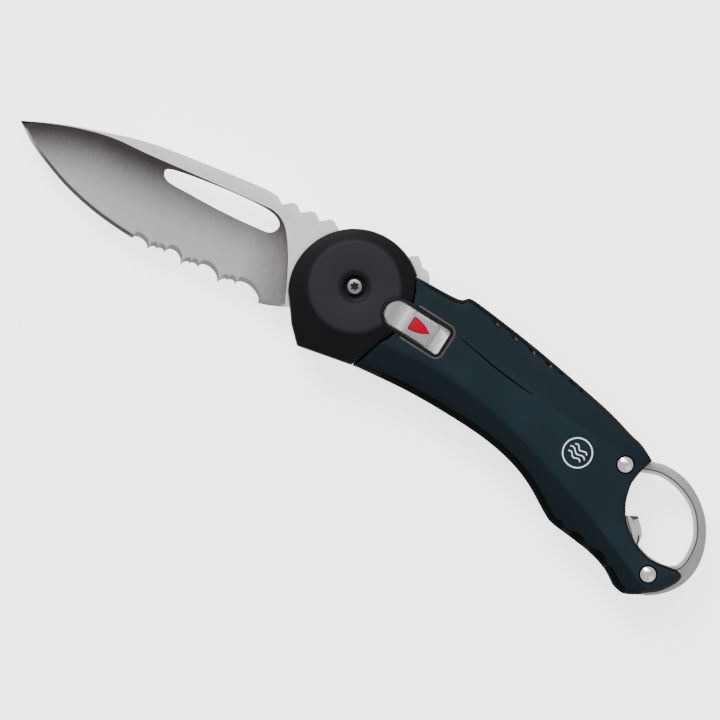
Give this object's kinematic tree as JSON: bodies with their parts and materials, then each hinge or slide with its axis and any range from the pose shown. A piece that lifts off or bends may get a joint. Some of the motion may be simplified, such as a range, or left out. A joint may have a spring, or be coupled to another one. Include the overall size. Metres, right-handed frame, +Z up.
{
  "type": "folding rigging knife",
  "caption": "One-hand folding rigging knife, part-serrated slotted blade, thumb-slide lock, moulded scales, and a steel ring with a bottle-opener lug at the butt.",
  "frame": {"origin": "middle of the overall box, on the surface that the open knife lies on; the pivot axis stands at x = -6.0 mm, y = +12.35 mm", "axes": "+X from the blade's tip to the ring, +Y towards the blade's spine, +Z up through the front scale"},
  "size_m": [0.176, 0.0502, 0.0143],
  "materials": {
    "blade_steel": "satin ground, brush lines across the blade",
    "lock_steel": "hardened, plain",
    "pin_steel": "polished pin stock",
    "bronze": "plain bronze sheet",
    "liner_steel": "satin",
    "ring_steel": "fine blasted satin",
    "scale_teal": "moulded nylon, fine satin grain",
    "cap_black": "satin black coating",
    "screw_steel": "bright",
    "rivet_steel": "polished dome",
    "guide_black": "moulded black nylon",
    "plate_white": "white acetal",
    "button_silver": "fine blasted, silver",
    "inlay_red": "red enamel",
    "spring_steel": "bright wire"
  },
  "bodies": {
    "handle": {"rear_liner": "liner_steel", "front_liner": "liner_steel", "ring_frame": "ring_steel", "front_scale": "scale_teal", "rear_scale": "scale_teal", "front_cap": "cap_black", "rear_cap": "cap_black", "pivot_barrel": "pin_steel", "pivot_screw": "screw_steel", "stop_pin": "pin_steel", "spacer_pin": "pin_steel", "butt_rivets": "rivet_steel", "slot_guide": "guide_black", "slide_plate": "plate_white", "front_washer": "bronze", "rear_washer": "bronze", "lock_spring": "spring_steel"},
    "blade": {"blade": "blade_steel", "lock_hub": "lock_steel", "hub_pins": "pin_steel"},
    "lock_slide": {"lock_bar": "lock_steel", "lock_button": "button_silver", "button_inlay": "inlay_red"}
  },
  "joints": [
    {"name": "blade_pivot", "type": "hinge", "parent": "handle", "child": "blade", "pos_m": [-0.006, 0.01235, 0.0068], "axis": [0, 0, 1], "range_deg": [0, 160]},
    {"name": "lock_slide_travel", "type": "slide", "parent": "handle", "child": "lock_slide", "axis": [0.989, -0.1478, 0], "range_m": [0, 0.0023], "stiffness_N_per_m": 400, "springref_m": -0.004, "deforming": ["lock_spring"]}
  ]
}
